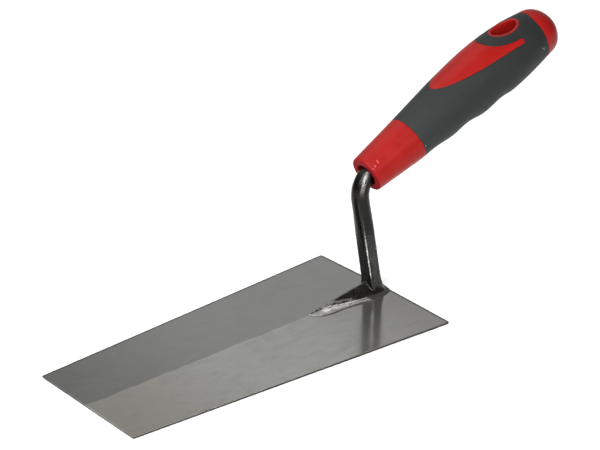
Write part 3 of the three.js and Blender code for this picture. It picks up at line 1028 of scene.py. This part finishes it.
def red_plastic():
    """Hard plastic with moulded-in flow tone and fine orange peel, nicked at the mouth, dull on
    its end face. Painted shade darkens the end face, the ring round the hang hole and the butt."""
    material, tree, shader, place = new_material("red_plastic")
    flow = grain(place, 0.06, 3)
    peel = grain(place, 1.1, 2)
    end_face = attribute(tree, "end_face")
    tone = blended(ramp(flow, 0.3, 0.7), (0.228, 0.0045, 0.0035), (0.262, 0.007, 0.005))
    tone = layered(tone, [
        *((nick_mark(tree, *nick), (0.5, 0.12, 0.1)) for nick in MOUTH_NICKS),
        # Painted shade: darker towards the butt.
        (ramp(attribute(tree, "along"), 116, 130, 0, 0.6), (0.12, 0.002, 0.004)),
        # Painted shade on the rounded rim round the top of the hang hole.
        (product(attribute(tree, "ring"), 0.5), (0.13, 0.018, 0.016)),
        # The end face is dull, and darkened by painted shade.
        (end_face, (0.2, 0.003, 0.006)),
    ])
    matt = ramp(grain(place, 0.4, 4), 0.3, 0.7, 0.33, 0.45)
    matt = combined("MAXIMUM", matt, ramp(end_face, 0, 1, 0.3, 0.7))
    set_inputs(shader, {"Base Color": tone, "Roughness": matt, "Specular IOR Level": 0.13})
    bumped(shader, peel, 0.012)
    return material


def grey_grip():
    """Soft dark rubber with a fine eroded grain, rubbed smoother in patches, and a painted falloff
    of the light: lighter at the collar's end and darker towards the butt."""
    material, tree, shader, place = new_material("grey_grip")
    rubbed_and_lamp_side = grain(place, 0.07, 4)
    fine = grain(place, 3.2, 3, 0.6)
    along = attribute(tree, "along")
    tone = blended(ramp(rubbed_and_lamp_side, 0.3, 0.7), (0.0125, 0.0147, 0.014), (0.0168, 0.0192, 0.0182))
    tone = layered(tone, [
        # Painted falloff of the light along the handle: lighter at the collar's end, darker towards
        # the butt.
        (ramp(along, 25, 65, 0.25, 0), (0.03, 0.035, 0.033)),
        (ramp(along, 70, 120, 0, 0.5), (0.0075, 0.009, 0.0085)),
        (ramp(fine, 0.35, 0.8, 0, 0.3), (0.028, 0.031, 0.03)),
        *((nick_mark(tree, *nick), (0.16, 0.17, 0.165)) for nick in GRIP_NICKS),
    ])
    matt = ramp(rubbed_and_lamp_side, 0.3, 0.7, 0.5, 0.62)
    set_inputs(shader, {"Base Color": tone, "Roughness": matt, "Specular IOR Level": 0.18})
    bumped(shader, fine, 0.03)
    return material


def pale_floor():
    material, _, shader, place = new_material("pale_floor")
    tone = blended(grain(place, 0.01, 2), (0.9, 0.9, 0.9), (0.92, 0.92, 0.92))
    set_inputs(shader, {"Base Color": tone, "Roughness": 0.9, "Specular IOR Level": 0.0})
    return material


# ---- pieces


def set_attribute(piece, name, values):
    """Gives each vertex a number that its material looks up."""
    layer = piece.data.attributes.new(name, "FLOAT", "POINT")
    layer.data.foreach_set("value", np.asarray(values, np.float32))


def vectors(collection, name):
    """A vector property of the parts of a mesh, as an (n, 3) array."""
    flat = np.empty(3 * len(collection))
    collection.foreach_get(name, flat)
    return flat.reshape(-1, 3)


def points_of(piece):
    """The vertices of a piece in millimetres."""
    return vectors(piece.data.vertices, "co") / MM


def add_blade():
    """Adds the blade, and marks its sheared rim and the line of painted shade on top along the heel
    and the far side."""
    piece = new_piece("trowel_blade", *blade_mesh(), blade_steel(), "blade", "blade_steel")
    piece.data.set_sharp_from_angle(angle=SHARP_EDGE)
    x, y, _ = points_of(piece).T
    from_side = blade_half_width(x) - np.abs(y)
    inwards = np.minimum(np.minimum(HEEL - x, x - TOE), from_side)
    set_attribute(piece, "rim", 1 - smooth_step(inwards, 0.15, 0.4))
    # Painted shade along the top of the heel and the far side.
    ground_off = np.minimum(HEEL - x, np.where(y > 0, from_side, HEEL - TOE))
    set_attribute(piece, "edge", 1 - smooth_step(ground_off, 0.6, 1.7))


def add_welds():
    """Adds the beads, and marks where they are dark: painted shade at the end near the heel and
    along the outer edge, and pits in the corner with the foot; and where they shine next to the
    foot, ground bright and lighter still on the bead's upper half, a painted highlight."""
    metal = weld_metal()
    for name, side, half_widths, seed in WELDS:
        mesh = weld_mesh(side, half_widths, seed)
        piece = new_piece("weld_bead_" + name, *mesh, metal, "weld_" + name, "weld_metal")
        x, y, _ = points_of(piece).T
        from_heel = HEEL - x
        beside = np.abs(y) - foot_half_width(from_heel)
        # Painted shade: the end near the heel, next to the dark neck, and the line along the outer
        # edge.
        heel_end_shade = 1 - smooth_step(from_heel, 13, 19)
        seam = between(beside, 0.2, 0.5, 1.2, 1.7) * (1 - smooth_step(from_heel, 36, 40))
        toe_line = smooth_through(half_widths)(from_heel)
        toe = smooth_step(np.abs(y) - toe_line, -1.0, -0.2)
        set_attribute(piece, "dark", np.maximum.reduce([heel_end_shade, 0.7 * seam, toe]))
        # Ground bright next to the foot, with a painted highlight on the bead's upper half.
        share = beside / np.maximum(toe_line - foot_half_width(from_heel), 0.5)
        shine = (1 - smooth_step(share, 0.4, 0.75)) * (1 - smooth_step(from_heel, 38, 43))
        set_attribute(piece, "shine", shine)


def facing_of(piece):
    """Which way each vertex faces, seen from above: 0 degrees to the near side, -90 to the toe."""
    x, y, _ = vectors(piece.data.vertex_normals, "vector").T
    return np.degrees(np.arctan2(x, -y))


# Distance in front of the back edge, how far in from the foot's side the flank is ground.
GROUND_STRIP = [(18, 1.2), (26, 2.4), (34, 3.2), (42, 4.5), (48, 5)]


def add_shank():
    """Adds the shank, and marks where it is painted bright: the neck's forged edges, partly wear and
    partly painted highlight, and a painted highlight on the side of the bend that faces the toe and
    the near side, dimmed by painted shadow at the handle's mouth. Below the bend heavy scale and
    painted shade make it blackest, and painted shade darkens the bend's other sides. The near flank
    was caught when the weld was ground: a strip that widens to the whole flank at the tip."""
    piece = new_piece("forged_shank", *shank_mesh(), forged_steel(), "shank", "forged_steel")
    points = points_of(piece)
    x, y, z = points.T
    sideways = np.abs(y)
    lengthways = np.abs(x - neck_centre(z))
    off_corner = np.abs(sideways / NECK_HALF_WIDTH - lengthways / NECK_HALF_DEPTH)
    corner = 1 - smooth_step(off_corner, 0.04, 0.16)
    corner *= between(z, 10, 13, 40, 50) * smooth_step(sideways, 2, 3)
    from_heel = HEEL - x
    from_side = foot_half_width(from_heel) - sideways
    reach = smooth_through(GROUND_STRIP)(from_heel)
    strip = 1 - smooth_step(from_side / reach, 0.6, 1)
    strip *= smooth_step(from_heel, 20, 25) * (y < 0) * (z < 8)
    # The side of the bend that faces the front lamp, where its painted highlight goes.
    rubbed_and_lamp_side = between(facing_of(piece), -48, -34, -20, -6)
    # Real scale with painted shade below the bend, and painted shade alone on the bend's sides away
    # from the front lamp.
    band = between(z, 28, 40, 55, 60)
    shaded_bend_sides = smooth_step(z, 45, 55) * (1 - rubbed_and_lamp_side)
    into_mouth = smooth_step(in_handle(points)[0], -3.5, -0.5)
    # Painted highlight on the bend, dimmed by the collar's painted shadow at the mouth.
    set_attribute(piece, "bend_highlight", smooth_step(z, 57, 62) * rubbed_and_lamp_side * (1 - 0.6 * into_mouth))
    set_attribute(piece, "scale_and_shade", np.maximum(band, shaded_bend_sides))
    # Partly wear, partly painted highlight along the neck's forged edge.
    set_attribute(piece, "wear_and_highlight", corner)
    set_attribute(piece, "ground", strip)


def add_handle():
    """Adds the core and the sleeve, and marks where each vertex is on the unrolled handle and, on
    the core, where painted shade goes: the ring round the top of the hang hole and the end face at
    the mouth."""
    core_mesh, sleeve_mesh = handle_meshes()
    core = new_piece("handle_body", *core_mesh, red_plastic(), "handle_core", "red_plastic")
    grip = new_piece("handle_grip", *sleeve_mesh, grey_grip(), "grip_sleeve", "grey_grip")
    for piece in (core, grip):
        u, angle = in_handle(points_of(piece))
        set_attribute(piece, "along", u)
        set_attribute(piece, "across", np.radians(angle) * MEAN_RADIUS)
    points = points_of(core)
    u, angle = in_handle(points)
    reach = np.hypot((u - HOLE_CENTRE) / HOLE_HALF_LENGTH, points[:, 1] / HOLE_HALF_WIDTH)
    on_top = np.abs(angle) < 45
    # Painted shade round the top of the hang hole.
    set_attribute(core, "ring", on_top * smooth_step(reach, 0.98, 1.08) * (reach < 1.45))
    # Painted shade on the end face at the mouth.
    set_attribute(core, "end_face", 1 - smooth_step(u, 0.15, 0.7))


def in_handle(points):
    """Where points are along the handle from its mouth, and round it in degrees."""
    cos, sin = math.cos(HANDLE_TILT), math.sin(HANDLE_TILT)
    x, y, z = (points - MOUTH).T
    return x * cos + z * sin, np.degrees(np.arctan2(-y, z * cos - x * sin))


add_blade()
add_shank()
add_welds()
add_handle()

# ---- floor, light and camera
# Metres, degrees and watts.

FLOOR_REACH = 4.0
FLOOR_DROP = 0.0002  # keeps it clear of the blade's underside
# Name, azimuth, elevation, distance, size, power.
SOFTBOXES = [
    ("front", -22, 20, 1.5, (0.2, 0.75), 7.5),
    ("left", -55, 44, 1.8, (1.2, 1.2), 43),
    ("right", 12, 26, 1.5, (0.45, 0.45), 3.6),
    ("behind", -150, 62, 1.7, (1.6, 1.6), 14),
]
VIEW_TARGET = Vector((0.0406, 0.00015, 0.05241))
VIEW_DISTANCE = 1.2053
VIEW_AZIMUTH = -35.265
VIEW_ELEVATION = 25.088
VIEW_ROLL = -3.809
VIEW_LENS = 147.0


def add_floor():
    r = FLOOR_REACH
    corners = [(-r, -r, 0), (r, -r, 0), (r, r, 0), (-r, r, 0)]
    mesh = bpy.data.meshes.new("floor")
    mesh.from_pydata(corners, [], [(0, 1, 2, 3)])
    floor = bpy.data.objects.new("floor", mesh)
    floor.location.z = -FLOOR_DROP
    mesh.materials.append(pale_floor())
    bpy.context.collection.objects.link(floor)


def direction(azimuth, elevation):
    """From the trowel towards a place round it: azimuth 0 is in front of its near side."""
    a, e = math.radians(azimuth), math.radians(elevation)
    return Vector((math.sin(a) * math.cos(e), -math.cos(a) * math.cos(e), math.sin(e)))


def add_softbox(name, azimuth, elevation, distance, size, power):
    """A soft light that faces the place the camera looks at."""
    lamp = bpy.data.lights.new(name, "AREA")
    lamp.shape = "RECTANGLE"
    lamp.size, lamp.size_y = size
    lamp.energy = power
    light = bpy.data.objects.new(name, lamp)
    towards = direction(azimuth, elevation)
    light.location = VIEW_TARGET + towards * distance
    light.rotation_euler = towards.to_track_quat("Z", "Y").to_euler()
    bpy.context.collection.objects.link(light)


def add_world():
    """Surroundings that are bright low down behind the trowel and dim everywhere else."""
    world = bpy.data.worlds.new("studio")
    world.use_nodes = True
    tree = world.node_tree
    towards = add(tree, "TexCoord").outputs["Generated"]
    bright = direction(145, 25)
    share = add(tree, "VectorMath", {0: towards, 1: bright}, operation="DOT_PRODUCT")
    strength = ramp(share.outputs["Value"], 0.4, 0.9, 0.16, 0.6)
    set_inputs(tree.nodes["Background"], {"Color": (1, 1, 1, 1), "Strength": strength})
    bpy.context.scene.world = world


def add_camera():
    data = bpy.data.cameras.new("camera")
    data.lens = VIEW_LENS
    camera = bpy.data.objects.new("camera", data)
    turn = Euler((math.radians(90 - VIEW_ELEVATION), 0, math.radians(VIEW_AZIMUTH))).to_matrix()
    roll = Euler((0, 0, math.radians(VIEW_ROLL))).to_matrix()
    camera.rotation_euler = (turn @ roll).to_euler()
    camera.location = VIEW_TARGET + turn.col[2] * VIEW_DISTANCE
    bpy.context.collection.objects.link(camera)
    bpy.context.scene.camera = camera


add_floor()
for softbox in SOFTBOXES:
    add_softbox(*softbox)
add_world()
add_camera()
bpy.context.scene.view_settings.view_transform = "Standard"
